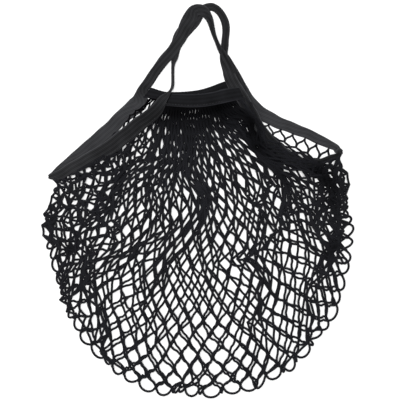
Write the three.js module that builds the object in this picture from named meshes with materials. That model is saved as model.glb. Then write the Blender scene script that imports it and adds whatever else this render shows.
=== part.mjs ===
// Mesh shopping bag, empty and lying flat with its front up. A knitted net pouch is bound along its two
// side slits by one long tape, which runs on above the mouth as the two handles. Two short bands hold the
// gathered mouth.
// Millimetres. X runs across the bag, Y from its bottom to its handles, and it lies on Z = 0.
import * as THREE from "three";

// Driving dimensions
const TAPE_WIDTH = 17; // binding tape, folded over the edge of the net
const TAPE_THICK = 1.4;
const CURL_WIDTH = 9; // the same tape where a handle curls lengthwise
const CURL_THICK = 3.6;
const STRAND_WIDTH = 2.6; // one cord of the net
const STRAND_THICK = 2;
const INSIDE_GAP = 4.6; // between the front and back layers of net
const CLEAR = 0.3; // between neighbouring pieces
const CELLS_ACROSS = 16; // cells of the net across each face
const ROWS = 18; // rows of knots from mouth to bottom, half a cell each
const SLIT_ROWS_LEFT = 10; // rows beside the left slit
const SLIT_ROWS_RIGHT = 8;
const FOLD_ROUND = 14; // how far in from the outline the layers start to close up
const MOUTH_HOLD = 18; // how far in from the bound edges the layers keep the height of those edges
const MOUTH_RISE = 30; // and how much further they take to lie down
const CORD_LENGTH = 20; // from knot to knot
const SETTLE_SWEEPS = 40; // passes in which the knots of the net even out
const EVENING = 0.25; // how far each pass moves a knot towards the middle of its neighbours
const WEB_SHARE = 0.42; // how far along a cord the corner beside it may reach
const WIDE_TURN = 2.6; // radians between two cords from which their corner sits squarely beside the knot
const POUCH_MIDDLE_Y = -60; // below this height the folded outline turns to face down
const STEPS = 4; // stations of the tape between two points of its route
const ROUNDING = 1e-9; // radians

// Heights of the middle of each layer
const BACK_TAPE_Z = TAPE_THICK / 2;
const BACK_EDGE_Z = TAPE_THICK + CLEAR + STRAND_THICK / 2;
const FRONT_EDGE_Z = BACK_EDGE_Z + STRAND_THICK + INSIDE_GAP;
const FRONT_TAPE_Z = FRONT_EDGE_Z + STRAND_THICK / 2 + CLEAR + TAPE_THICK / 2;
const BACK_NET_Z = STRAND_THICK / 2;
const FRONT_NET_Z = BACK_NET_Z + STRAND_THICK + INSIDE_GAP;
const CORNER_Z = (BACK_TAPE_Z + FRONT_TAPE_Z) / 2;

// Middle lines of the bound edges seen from above, from the mouth to the side corners
const FRONT_LEFT = [
  [-45, 112], [-54, 100.5], [-68, 87], [-85, 73], [-106, 60], [-125.5, 47.5], [-145, 38.5],
  [-159, 30], [-167.5, 27],
];
const FRONT_RIGHT = [
  [54, 116.5], [65.5, 103], [77, 85.5], [89.5, 65], [103.5, 49], [119.5, 39.5], [135.5, 38],
  [150, 44], [160, 50],
];
const BACK_LEFT = [
  [-62, 123.5], [-75, 110], [-86.5, 96.5], [-102.5, 82], [-116.5, 68], [-140.5, 49], [-156, 36.5],
  [-166.5, 29],
];
const BACK_RIGHT = [
  [62, 113.5], [72.5, 101], [87.5, 90.5], [104.5, 82], [122, 75], [139, 68], [153, 61],
  [160.5, 56.5],
];
const CORNER_LEFT = [-172.5, 26];
const CORNER_RIGHT = [165.5, 53];

// Middle lines of the gathered mouth, left to right
const FRONT_MOUTH = [[-37, 113], [-10, 113.5], [15, 116], [42, 119]];
const BACK_MOUTH = [[-52, 119.5], [-22, 117.5], [7, 121.5], [42, 131]];

// Outline of the pouch below the side corners, where the net folds from front to back
const OUTLINE_LEFT = [
  [-170.4, 26], [-168, 15.5], [-173, -12], [-177.5, -37], [-175.5, -64], [-165.5, -98],
  [-158.5, -121],
];
const OUTLINE_RIGHT = [
  [163.4, 53], [170.5, 22], [174.5, -6], [178, -40], [175.5, -58], [167.5, -98], [162.5, -121],
];
const OUTLINE_BOTTOM = [
  [-158.5, -121], [-135.5, -161], [-112.5, -180], [-81, -203.5], [-44.5, -221], [1, -225],
  [38, -225.8], [67.5, -217.5], [97, -203.5], [129, -174], [154, -140], [162.5, -121],
];

// Top and bottom edges of the two bands, left to right
const FRONT_BAND = {
  top: [[-29, 121], [-10, 120.8], [15, 123.4], [34.3, 125.8]],
  bottom: [[-36.8, 106.4], [-10, 106.6], [15, 109.2], [45.5, 112.2]],
};
const BACK_BAND = {
  top: [[-47.5, 127.5], [-30, 124.2], [-14, 124.6], [1, 126.6], [14, 130.4], [26.5, 135.2], [38.5, 138.5]],
  bottom: [[-56, 115], [-34, 110.2], [-14, 110.4], [3, 112.6], [17, 116.4], [31, 121], [46, 125.5]],
};

// Routes of the handles above the mouth: x, y, z, width, thickness and the way the outer face looks
const FRONT_HANDLE = [
  [-36.8, 121.3, 11.3, 13, TAPE_THICK, [-0.3, 0, 1]],
  [-32, 129, 8, 8, 2.8, [-1, 0.2, 0.5]],
  [-31, 138.5, 4.3, 8, 4, [-1, 0, 0]],
  [-31, 147, 4.2, 8, 4, [-1, 0, 0.1]],
  [-30.6, 153, 2.4, 9, 2.4, [-0.5, 0, 1]],
  [-29.2, 160, 0.9, 11, 1.6, [0, 0, 1]],
  [-20.7, 182, BACK_TAPE_Z, TAPE_WIDTH, TAPE_THICK, [0, 0, 1]],
  [-13.8, 197, BACK_TAPE_Z, TAPE_WIDTH, TAPE_THICK, [0, 0, 1]],
  [-5.8, 211, BACK_TAPE_Z, 15, TAPE_THICK, [0, 0, 1]],
  [3, 219.3, 0.8, 11, 1.6, [0, 0, 1]],
  [12, 222.2, 1.5, CURL_WIDTH, 3, [0, 0, 1]],
  [21, 216.5, 1.8, CURL_WIDTH, CURL_THICK, [0, 0, 1]],
  [27.6, 204, 1.8, CURL_WIDTH, CURL_THICK, [0, 0, 1]],
  [30, 191.5, 1.8, CURL_WIDTH, CURL_THICK, [0, 0, 1]],
  [29.8, 179, 1.8, CURL_WIDTH, CURL_THICK, [0, 0, 1]],
  [28.8, 168.5, 1.8, CURL_WIDTH, CURL_THICK, [0, 0, 1]],
  [31, 156, 1.3, 10, 2.6, [0, 0, 1]],
  [33.5, 146, 1.5, 11.5, 1.8, [0, 0, 1]],
  [36, 137.5, 6.5, 13.5, TAPE_THICK, [0, 0, 1]],
  [43.5, 127.5, FRONT_TAPE_Z, 15.5, TAPE_THICK, [0, 0, 1]],
];
const BACK_HANDLE = [
  [57, 124, BACK_TAPE_Z, 15, TAPE_THICK, [0, 0, -1]],
  [51, 135.5, 0.8, 13.5, TAPE_THICK, [0, 0, -1]],
  [46, 144, 2.4, 12, 1.6, [0, 0, -1]],
  [40, 152.5, 4.4, 11, 2, [0, 0, -1]],
  [34.5, 160.5, 5.8, CURL_WIDTH, 3, [0, 0, -1]],
  [28.8, 168.5, 6, 8, CURL_THICK, [0, 0, -1]],
  [22, 180, 5.8, 7.5, CURL_THICK, [0, 0, -1]],
  [16.7, 192.5, 5.6, 7.5, CURL_THICK, [0, 0, -1]],
  [12, 205, 5.4, 8, CURL_THICK, [0, 0, -1]],
  [5.5, 214.5, 5, 11, 2.4, [0, 0, -1]],
  [-2.5, 217, 3.4, 15, 1.6, [0, 0, -1]],
  [-9, 207.5, 2.6, TAPE_WIDTH, TAPE_THICK, [0, 0, -1]],
  [-16, 194, 2.5, TAPE_WIDTH, TAPE_THICK, [0, 0, -1]],
  [-22.5, 181, 2.8, TAPE_WIDTH, TAPE_THICK, [0, 0, -1]],
  [-31, 168.5, 4.2, TAPE_WIDTH, TAPE_THICK, [0, 0, -1]],
  [-41.5, 154.5, 2.6, TAPE_WIDTH, TAPE_THICK, [0, 0, -1]],
  [-52, 139.5, 0.9, TAPE_WIDTH, TAPE_THICK, [0, 0, -1]],
];

const vec = (x, y, z) => new THREE.Vector3(x, y, z);

// A smooth line through points seen from above, evenly measured along its length
function line(points) {
  const curve = new THREE.CatmullRomCurve3(points.map(([x, y]) => vec(x, y, 0)), false, "centripetal");
  curve.arcLengthDivisions = 400;
  return curve;
}

function mesh(name, points, faces, colour) {
  const geometry = new THREE.BufferGeometry();
  const places = points.flatMap((p) => [p.x, p.y, p.z]);
  geometry.setAttribute("position", new THREE.Float32BufferAttribute(places, 3));
  geometry.setIndex(faces.flat());
  geometry.computeVertexNormals();
  const part = new THREE.Mesh(geometry, new THREE.MeshStandardMaterial({ color: colour, roughness: 0.9 }));
  part.name = name;
  return part;
}

// A flat strip through four-cornered sections; an open strip gets its two end faces
function strip(name, sections, closed, colour) {
  const faces = [];
  const count = sections.length;
  const quad = (a, b, c, d) => faces.push([a, b, c], [a, c, d]);
  for (let i = 0; i < (closed ? count : count - 1); i++) {
    const here = i * 4;
    const next = ((i + 1) % count) * 4;
    for (let k = 0; k < 4; k++) {
      const l = (k + 1) % 4;
      quad(here + k, here + l, next + l, next + k);
    }
  }
  if (!closed) {
    const last = (count - 1) * 4;
    quad(3, 2, 1, 0);
    quad(last, last + 1, last + 2, last + 3);
  }
  return mesh(name, sections.flat(), faces, colour);
}

// The tape: one closed loop down both slits and over both handles
function tape() {
  const front = ([x, y]) => [x, y, FRONT_TAPE_Z, TAPE_WIDTH, TAPE_THICK, [0, 0, 1]];
  const back = ([x, y]) => [x, y, BACK_TAPE_Z, TAPE_WIDTH, TAPE_THICK, [0, 0, -1]];
  const corner = ([x, y]) => [x, y, CORNER_Z, TAPE_WIDTH, TAPE_THICK, [Math.sign(x), 0, 0]];
  const route = [
    corner(CORNER_LEFT),
    ...FRONT_LEFT.map(front).reverse(),
    ...FRONT_HANDLE,
    ...FRONT_RIGHT.map(front),
    corner(CORNER_RIGHT),
    ...BACK_RIGHT.map(back).reverse(),
    ...BACK_HANDLE,
    ...BACK_LEFT.map(back),
  ];
  const curve = new THREE.CatmullRomCurve3(route.map(([x, y, z]) => vec(x, y, z)), true, "centripetal");
  const sections = [];
  for (let i = 0; i < route.length; i++) {
    const [, , , widthA, thickA, faceA] = route[i];
    const [, , , widthB, thickB, faceB] = route[(i + 1) % route.length];
    for (let k = 0; k < STEPS; k++) {
      const share = k / STEPS;
      const t = (i + share) / route.length;
      const middle = curve.getPoint(t);
      const along = curve.getTangent(t);
      const face = vec(...faceA).lerp(vec(...faceB), share);
      face.addScaledVector(along, -face.dot(along)).normalize();
      const across = along.clone().cross(face);
      across.multiplyScalar(THREE.MathUtils.lerp(widthA, widthB, share) / 2);
      face.multiplyScalar(THREE.MathUtils.lerp(thickA, thickB, share) / 2);
      const lowest = middle.z - Math.abs(across.z) - Math.abs(face.z);
      middle.z -= Math.min(lowest, 0);
      const at = (a, f) => middle.clone().addScaledVector(across, a).addScaledVector(face, f);
      sections.push([at(-1, 1), at(1, 1), at(1, -1), at(-1, -1)]);
    }
  }
  return strip("tape", sections, true, 0x2e2f32);
}

function band(name, edges, z) {
  const half = TAPE_THICK / 2;
  const sections = edges.top.map(([x, y], i) => {
    const [lowX, lowY] = edges.bottom[i];
    return [vec(x, y, z + half), vec(lowX, lowY, z + half), vec(lowX, lowY, z - half), vec(x, y, z - half)];
  });
  return strip(name, sections, false, 0x26272b);
}

// Points along smooth lines, and the distance from a point to the nearest of them, seen from above
const spaced = (...lines) => lines.flatMap((points) => line(points).getSpacedPoints(90));
function distanceTo(samples, p) {
  return Math.min(...samples.map((q) => Math.hypot(q.x - p.x, q.y - p.y)));
}

// One layer of the pouch: a place for each knot, blended from the four borders of the layer
function layer(mouth, leftSlit, rightSlit) {
  const top = line(mouth);
  const bottom = line(OUTLINE_BOTTOM);
  const side = (slit, start, outline, slitRows) => {
    const bound = line([start, ...slit.slice(1), outline[0]]);
    const folded = line(outline);
    return (row) =>
      row <= slitRows
        ? bound.getPointAt(row / slitRows)
        : folded.getPointAt((row - slitRows) / (ROWS - slitRows));
  };
  const left = side(leftSlit, mouth[0], OUTLINE_LEFT, SLIT_ROWS_LEFT);
  const right = side(rightSlit, mouth[mouth.length - 1], OUTLINE_RIGHT, SLIT_ROWS_RIGHT);
  const place = (column, row) => {
    const u = column / (2 * CELLS_ACROSS);
    const v = row / ROWS;
    const at = vec(0, 0, 0);
    at.addScaledVector(top.getPointAt(u), 1 - v).addScaledVector(bottom.getPointAt(u), v);
    at.addScaledVector(left(row), 1 - u).addScaledVector(right(row), u);
    at.addScaledVector(top.getPointAt(0), -(1 - u) * (1 - v));
    at.addScaledVector(top.getPointAt(1), -u * (1 - v));
    at.addScaledVector(bottom.getPointAt(0), -(1 - u) * v);
    at.addScaledVector(bottom.getPointAt(1), -u * v);
    return at;
  };
  return { place, bound: spaced(mouth, leftSlit, rightSlit) };
}

// The net: knots joined by cords, front and back layers meeting along the sides and the bottom
function net() {
  const knots = [];
  const names = new Map();
  const last = 2 * CELLS_ACROSS;
  const folded = (column, row) =>
    row === ROWS || (column === 0 && row >= SLIT_ROWS_LEFT) || (column === last && row >= SLIT_ROWS_RIGHT);
  const key = (face, column, row) => `${folded(column, row) ? "fold" : face} ${column} ${row}`;
  const outline = spaced(OUTLINE_LEFT, OUTLINE_BOTTOM, OUTLINE_RIGHT);
  const faces = {
    front: layer(FRONT_MOUTH, FRONT_LEFT, FRONT_RIGHT),
    back: layer(BACK_MOUTH, BACK_LEFT, BACK_RIGHT),
  };
  for (const [face, { place }] of Object.entries(faces)) {
    for (let row = 0; row <= ROWS; row++) {
      for (let column = row % 2; column <= last; column += 2) {
        if (names.has(key(face, column, row))) continue;
        const fold = folded(column, row);
        const held = fold || row === 0 || column === 0 || column === last;
        names.set(key(face, column, row), knots.length);
        knots.push({ middle: place(column, row), face, fold, held, next: [] });
      }
    }
  }
  const join = (face, a, b) => {
    const from = names.get(key(face, ...a));
    const to = names.get(key(face, ...b));
    if (!knots[from].next.includes(to)) {
      knots[from].next.push(to);
      knots[to].next.push(from);
    }
  };
  for (const face of Object.keys(faces)) {
    for (let row = 0; row < ROWS; row++) {
      for (let column = row % 2; column <= last; column += 2) {
        if (column > 0) join(face, [column, row], [column - 1, row + 1]);
        if (column < last) join(face, [column, row], [column + 1, row + 1]);
      }
    }
    for (let column = 0; column < last; column += 2) join(face, [column, 0], [column + 2, 0]);
    for (let row = 0; row < SLIT_ROWS_LEFT; row += 2) join(face, [0, row], [0, row + 2]);
    for (let row = 0; row < SLIT_ROWS_RIGHT; row += 2) join(face, [last, row], [last, row + 2]);
  }
  settle(knots);
  for (const knot of knots) {
    const { middle, fold } = knot;
    const { bound } = faces[knot.face];
    const from = distanceTo(bound, middle);
    const rise = 1 - THREE.MathUtils.smoothstep(from, MOUTH_HOLD, MOUTH_HOLD + MOUTH_RISE);
    const low = THREE.MathUtils.lerp(BACK_NET_Z, BACK_EDGE_Z, rise);
    const high = THREE.MathUtils.lerp(FRONT_NET_Z, FRONT_EDGE_Z, rise);
    const inward = fold ? 0 : Math.min(1, distanceTo(outline, middle) / FOLD_ROUND);
    const open = Math.sqrt(1 - (1 - inward) ** 2) * (knot.face === "front" ? 1 : -1);
    middle.z = (low + high) / 2 + ((high - low) / 2) * open;
    const outward = vec(middle.x, Math.min(0, middle.y - POUCH_MIDDLE_Y), 0).normalize();
    knot.normal = fold ? outward : vec(0, 0, Math.sign(open));
  }
  return cords("net", knots);
}

// Free knots move towards the middle of their neighbours, and a cord that is drawn too long pulls its
// knots together
function settle(knots) {
  for (let sweep = 0; sweep < SETTLE_SWEEPS; sweep++) {
    for (const knot of knots.filter(({ held }) => !held)) {
      const mean = vec(0, 0, 0);
      for (const to of knot.next) mean.addScaledVector(knots[to].middle, 1 / knot.next.length);
      knot.middle.lerp(mean, EVENING);
    }
    knots.forEach((a, from) => {
      for (const to of a.next.filter((other) => other > from)) {
        const b = knots[to];
        const way = vec(0, 0, 0).subVectors(b.middle, a.middle);
        way.multiplyScalar(Math.max(0, 1 - CORD_LENGTH / way.length()) / 4);
        if (!a.held) a.middle.add(way);
        if (!b.held) b.middle.sub(way);
      }
    });
  }
}

// Cords between knots. A knot is a peak on each face of the layer and a corner between each pair of its cords
function cords(name, knots) {
  const points = [];
  const faces = [];
  for (const knot of knots) {
    const { middle, normal } = knot;
    const first = vec(0, 0, 0).subVectors(knots[knot.next[0]].middle, middle);
    const e1 = first.addScaledVector(normal, -first.dot(normal)).normalize();
    const e2 = normal.clone().cross(e1);
    const reach = knot.next.map((to) => {
      const way = vec(0, 0, 0).subVectors(knots[to].middle, middle);
      const turned = Math.atan2(way.dot(e2), way.dot(e1));
      const angle = turned < -ROUNDING ? turned + 2 * Math.PI : turned;
      return { to, length: way.length(), way: way.normalize(), angle };
    });
    reach.sort((a, b) => a.angle - b.angle);
    knot.next = reach.map(({ to }) => to);
    knot.outer = points.push(middle.clone().addScaledVector(normal, STRAND_THICK / 2)) - 1;
    knot.inner = points.push(middle.clone().addScaledVector(normal, -STRAND_THICK / 2)) - 1;
    knot.corner = reach.map((a, i) => {
      const b = reach[(i + 1) % reach.length];
      const turn = i + 1 < reach.length ? b.angle - a.angle : b.angle + 2 * Math.PI - a.angle;
      const between = a.angle + turn / 2;
      let way = e1.clone().multiplyScalar(Math.cos(between)).addScaledVector(e2, Math.sin(between));
      let reachOut = STRAND_WIDTH / 2;
      if (turn < WIDE_TURN) {
        way = a.way.clone().add(b.way).normalize();
        const longest = WEB_SHARE * Math.min(a.length, b.length);
        reachOut = Math.min(STRAND_WIDTH / 2 / Math.sin(way.angleTo(a.way)), longest);
      }
      return points.push(middle.clone().addScaledVector(way, reachOut)) - 1;
    });
  }
  const quad = (a, b, c, d) => faces.push([a, b, c], [a, c, d]);
  knots.forEach((a, from) => {
    a.next.forEach((to, i) => {
      if (to < from) return;
      const b = knots[to];
      const j = b.next.indexOf(from);
      const leftA = a.corner[i];
      const rightA = a.corner[(i + a.corner.length - 1) % a.corner.length];
      const leftB = b.corner[(j + b.corner.length - 1) % b.corner.length];
      const rightB = b.corner[j];
      quad(a.outer, b.outer, leftB, leftA);
      quad(a.outer, rightA, rightB, b.outer);
      quad(a.inner, leftA, leftB, b.inner);
      quad(a.inner, b.inner, rightB, rightA);
    });
  });
  return mesh(name, points, faces, 0x1c1c20);
}

const bag = new THREE.Group();
bag.name = "mesh_shopping_bag";
bag.add(
  net(),
  tape(),
  band("band_front", FRONT_BAND, FRONT_TAPE_Z),
  band("band_back", BACK_BAND, BACK_TAPE_Z),
);
export default bag;
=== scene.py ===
"""Net shopping bag, empty and lying flat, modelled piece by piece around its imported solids."""

import math

import bpy
import numpy as np
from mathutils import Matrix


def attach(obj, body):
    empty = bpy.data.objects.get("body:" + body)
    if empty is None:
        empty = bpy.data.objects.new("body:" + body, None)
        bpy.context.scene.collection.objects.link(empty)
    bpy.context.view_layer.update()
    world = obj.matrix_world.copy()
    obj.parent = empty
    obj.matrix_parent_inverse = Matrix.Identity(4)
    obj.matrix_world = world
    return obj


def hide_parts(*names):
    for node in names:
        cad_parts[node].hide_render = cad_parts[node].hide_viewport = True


bl_info = {
    "name": "Net shopping bag",
    "version": (1, 0, 0),
    "blender": (4, 5, 0),
    "location": "View3D > Sidebar > Net bag",
    "description": "Models a flat lying net shopping bag, its binding tape, its mouth bands and its stage",
    "category": "Object",
}

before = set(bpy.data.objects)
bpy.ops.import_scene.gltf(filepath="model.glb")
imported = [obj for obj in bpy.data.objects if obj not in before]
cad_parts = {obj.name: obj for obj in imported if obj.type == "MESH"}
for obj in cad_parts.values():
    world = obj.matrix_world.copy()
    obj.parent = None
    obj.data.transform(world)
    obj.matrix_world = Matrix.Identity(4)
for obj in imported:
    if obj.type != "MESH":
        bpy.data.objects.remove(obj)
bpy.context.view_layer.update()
MM = 0.001
TINY = 1e-9

# Lines of the tape in millimetres, seen from above, from the mouth to a corner: x, y and width
FRONT_LEFT = [(-50, 101.5, 15), (-67, 87.5, 17), (-80, 77, 17.5), (-104, 58.5, 17), (-127, 45.5, 16),
              (-150.5, 33, 13), (-161, 28, 10.5)]
FRONT_RIGHT = [(54, 108.5, 14), (62, 96, 13), (69, 83.5, 12), (81, 68, 12), (92, 58, 12), (109.5, 44, 12),
               (124, 42, 11), (138.5, 43, 8), (151, 48, 6), (160, 52.5, 5)]
BACK_LEFT = [(-70, 111.5, 20), (-86.5, 97.5, 17), (-102.5, 82, 16.5), (-118, 68, 16.5), (-142.5, 47.5, 15),
             (-158.5, 35.5, 11)]
BACK_RIGHT = [(57, 114.5, 15), (67.5, 102.5, 16), (86, 91.5, 14.5), (106.5, 83, 13), (126.5, 75, 12),
              (146.5, 65.5, 10.5), (158.5, 59.5, 8)]
CORNER_LEFT = (-172.5, 26.5, 5)
CORNER_RIGHT = (164.5, 54.5, 5.5)

# Lines of the net and the bands in millimetres, from left to right, the outline round the bottom
FRONT_MOUTH = [(-100, 52.5), (-76, 71.5), (-62.5, 82), (-46, 97), (-37, 110), (-10, 111.5), (15, 114.5),
               (47, 120)]
BACK_MOUTH = [(-54, 119.5), (-22, 117.5), (7, 121.5), (44, 131)]
OUTLINE = [(-170.4, 26), (-168, 15.5), (-173, -12), (-177.5, -37), (-175.5, -64), (-165.5, -98),
           (-158.5, -121), (-137, -162), (-116, -184), (-84.5, -208.5), (-46, -225), (1, -227),
           (38, -225.8), (67.5, -217.5), (97, -203.5), (129, -174), (154, -140), (162.5, -121),
           (167.5, -98), (175.5, -58), (178, -40), (174.5, -6), (170.5, 22), (163.4, 53)]
FRONT_BAND_TOP = [(-31, 121), (-10, 120.4), (3, 121.2), (17, 123.4), (29, 126.6), (46, 128.2)]
FRONT_BAND_BOTTOM = [(-38.5, 107.4), (-12, 105.4), (8, 106.4), (28, 110.2), (52, 115.6)]
BACK_BAND_TOP = [(-55.5, 129.2), (-40, 124.4), (-30, 123.8), (-14, 124.6), (1, 126.6), (14, 130.4),
                 (26.5, 135.2), (38.5, 138.5)]
BACK_BAND_BOTTOM = [(-65, 117.5), (-48, 115.6), (-34, 111.2), (-14, 110.4), (3, 112.6), (17, 116.4),
                    (31, 121), (46, 125.5)]

# How finely lines are drawn: parts between two points of a line, and points along seams and edges
LINE_PARTS = 60
SEAM_POINTS = 14
SLIT_POINTS = 120
RIM_POINTS = 1000
SPREAD_POINTS = 2400

# Heights of the layers' middles in millimetres, and how far a piece stays over the floor
BACK_TAPE_Z = 0.9
BACK_BAND_Z = 1.1
BACK_NET_Z = 1.7
FRONT_NET_Z = 6.4
FRONT_EDGE_Z = 9.3
FRONT_TAPE_Z = 11.3
COVER_RISE = 2.4
CORNER_Z = 6.0
TAPE_THICK = 1.8
FLOOR_GAP = 0.02

# Handles: x, y, z, width, thickness and the way the tape's face looks
UP = (0, 0, 1)
DOWN = (0, 0, -1)
FRONT_HANDLE = [
    (-41.5, 114.5, 11.3, 11, 1.8, (-0.3, 0, 1)), (-35, 122, 10, 8, 2.4, (-0.8, 0.2, 0.6)),
    (-30.8, 129, 6, 7.5, 3.4, (-1, 0.1, 0.3)), (-30.2, 142, 4.3, 8, 3.8, (-1, 0, 0)),
    (-30, 153.5, 4.2, 8, 3.8, (-1, 0, 0.15)), (-28, 163, 2.2, 9, 2.2, (-0.5, 0, 1)),
    (-27, 172, 0.9, 10.5, 1.6, UP), (-21.5, 189, 0.9, 15.5, 1.6, UP), (-12.8, 199.2, 0.9, 16.4, 1.6, UP),
    (-5, 208, 0.9, 15.4, 1.6, UP), (1.5, 215.5, 0.9, 12.5, 1.6, UP), (8, 221, 1.2, 10, 2.2, UP),
    (15, 222.4, 1.6, 9, 3, UP), (23.6, 216.5, 1.8, 9, 3.4, UP), (29.3, 207, 1.8, 9, 3.4, UP),
    (31, 194, 1.8, 9, 3.4, UP), (30, 180, 1.8, 8.6, 3.4, UP), (28.8, 169.5, 1.8, 9, 3.2, UP),
    (29.3, 160.5, 1.3, 10.5, 2.4, UP), (33.4, 149, 1.6, 13, 1.8, UP), (37, 137.5, 5.5, 14.5, 1.6, UP),
    (45, 123.5, 9.4, 15, 1.7, UP),
]
BACK_HANDLE = [
    (50.8, 126.5, 0.9, 12.5, 1.6, DOWN), (44, 140.5, 1.8, 10.5, 1.8, DOWN), (36.6, 154.5, 4.6, 9, 2.4, DOWN),
    (28.8, 166, 6, 8, 3.2, DOWN), (22.4, 176.5, 6, 5.5, 3.6, DOWN), (18.4, 185.7, 5.8, 4.6, 3.8, DOWN),
    (15, 198.5, 5.6, 6.5, 3.6, DOWN), (10.8, 210, 5.4, 9, 3, DOWN), (4.6, 217.3, 5, 12.5, 2.2, DOWN),
    (-4.6, 217.6, 3.6, 14, 1.7, DOWN), (-10, 211, 2.8, 15.5, 1.6, DOWN), (-16, 199, 2.6, 15, 1.6, DOWN),
    (-21, 186.5, 2.7, 13.5, 1.6, DOWN), (-28.5, 174.5, 3.4, 13, 1.6, DOWN), (-43.4, 157, 3, 12, 1.8, DOWN),
    (-58.3, 135.5, 1, 12, 1.8, DOWN), (-65, 126, 0.9, 12.5, 1.8, DOWN),
]

# How pale the tape is painted, at the first and the last end of a stretch of its route: painted light and
# shade that stand in for how the light falls on each stretch
TONE_FRONT_LEFT = (0.75, -0.2)
TONE_FRONT_RIGHT = (0.0, 0.0)
TONE_BACK = (1.35, 1.35)
TONE_HANDLE = 0.45
TONE_CORNER = 1.0

# The net: every column and row holds one knot, of the front layer where their sum is even
LAST_COLUMN = 79
ROWS = 24
SLIT_ROWS_LEFT = 17
SLIT_ROWS_RIGHT = 20
COLUMN_SHARE = np.arange(LAST_COLUMN + 1) / LAST_COLUMN
ROW_SHARE = np.arange(ROWS + 1) / ROWS
FRONT, BACK, BOTH = range(3)

# Strands: the slots in which they leave a knot, the slot straight on, and their parts
UP_LEFT, UP_RIGHT, DOWN_LEFT, DOWN_RIGHT = range(4)
ON = np.array([DOWN_RIGHT, DOWN_LEFT, UP_RIGHT, UP_LEFT])
PARTS = 6
INNER_SHARE = np.arange(1, PARTS) / PARTS

# How the layers start: the front one hangs from the left tape with its first columns
HUNG_STATIONS = 3
HUNG_COLUMNS = 20
HUNG_SHARE = 0.503
HEM = 1.4
COVER = 0.62
COVER_FADE = 0.15
COVER_CROWDING = 2.1
BOTTOM_FROM = 0.08
BOTTOM_TO = 0.95
SIDE_FADE = 2.5
SPREAD_SWEEPS = 600
ROW_GROWTH = 0.99
RIM_PULL = 0.06
SLIP = 0.32
SIDE_SLIP = 0.4
SLIP_FADE = 20

# Places in the bag, each from where it begins to where it is reached in full, in millimetres or rows
LEFT_END = (-110, -150)
BOTTOM_END = (-120, -180)
LOWER_POUCH = (-50, -74)
ABOVE_BOTTOM = (-225, -165)
BELOW_MOUTH = (100, 40)
FREE_OF_HOLD = (0, 9)
FREE_OF_SLIT = (18, 43)
FREE_ROWS = (1, 5)
PINCHED_ROWS = (2, 6)

# How columns are pushed apart, in millimetres
HALF_WIDTH = 168
UPPER_PUSH = 2.5
LOWER_PUSH = 11
LEAST_PUSH = 0.2
UPPER_SHIFT = 9
ASIDE = 14
ASIDE_PLACE = (55, 5)
ASIDE_REACH = (32, 55)

# The window beside the right slit, where the back layer shows with wide cells, in millimetres
WINDOW = 34.0
WIDENING = 11.0
WIDE_FROM = 4
EDGE_GAP = 1
LONGEST_RETURN = 14

# How the knots wander, slide along the rim and settle, in millimetres
DRIFT_WAVES = 12
DRIFT = 6.0
DRIFT_LENGTH = (45, 130)
JITTER = 0.2
RIM_INSET = 7.5
SIDE_INSET = 1.5
RIM_JITTER = 2.4
SLIDE = 5
SLIDE_LENGTH = (50, 130)
SLIDE_JITTER = 1.2
STRETCH = 1.1
SETTLE_SWEEPS = 150
RIM_EVERY = 3
BEND_SWEEPS = 160

# Where the net lies gathered: ends of a line in millimetres, its reach, its share and its layer
GATHERS = [
    (-8, 80, -8, -45, 22, 0.7, FRONT), (-8, 70, -6, -40, 20, 0.6, BACK),
    (-39, -29, -24, -72, 14, 0.65, BOTH), (64, 82, 118, -45, 24, 0.6, FRONT),
    (70, 80, 114, -10, 22, 0.5, BACK), (55, -72, 104, -46, 22, 0.5, BOTH),
    (148, 38, 152, -52, 36, 0.75, BOTH), (144, 30, 150, -62, 26, 0.5, BOTH),
    (158, 38, 162, -5, 24, 0.6, BOTH), (-152, 20, -142, -40, 24, 0.45, BOTH),
    (-99, 4, -94, -40, 18, 0.65, BOTH), (-138, -56, -132, -90, 22, 0.55, BOTH),
    (-130, -93, -109, -141, 22, 0.6, BOTH), (138, -85, 138, -116, 15, 0.4, BACK),
    (-85, -18, -74, -58, 15, 0.6, FRONT), (-74, -58, -39, -74, 15, 0.75, FRONT),
    (-39, -74, 7, -74, 15, 0.75, FRONT), (7, -74, 53, -74, 15, 0.75, FRONT),
    (53, -74, 82, -60, 15, 0.75, FRONT), (82, -60, 105, -29, 15, 0.7, FRONT),
    (-74, -62, 7, -80, 14, 0.55, BACK), (7, -80, 90, -66, 14, 0.6, BACK),
    (70, -58, 68, -118, 18, 0.5, BOTH),
]


# Lines and places


def ramp(values, start, end):
    """0 up to the start, 1 from the end on, and evenly rising between them."""
    return np.clip((values - start) / (end - start), 0, 1)


def bell(values, middle, reach):
    """1 at the middle, and less and less away from it."""
    return np.exp(-(((values - middle) / reach) ** 2))


def unit(vectors):
    """The same vectors, each one long."""
    return vectors / (np.linalg.norm(vectors, axis=-1, keepdims=True) + TINY)


def lengths(line):
    """The length along a line at each of its points."""
    return np.concatenate([[0], np.cumsum(np.linalg.norm(np.diff(line, axis=0), axis=1))])


def looked_up(at, known, values):
    """All columns of values, read between the known places."""
    return np.stack([np.interp(at, known, column) for column in values.T], 1)


def nearest(places, others):
    """For each place the number of the nearest of the others, and the distance to it."""
    square = ((places[:, None] - others[None]) ** 2).sum(2)
    return square.argmin(1), np.sqrt(square.min(1))


def hermite(t, start, leave, end, arrive):
    """A smooth curve with given ways at its two ends, at the shares t of it."""
    curve = (2 * t**3 - 3 * t**2 + 1) * start + (t**3 - 2 * t**2 + t) * leave
    return curve + (3 * t**2 - 2 * t**3) * end + (t**3 - t**2) * arrive


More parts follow.
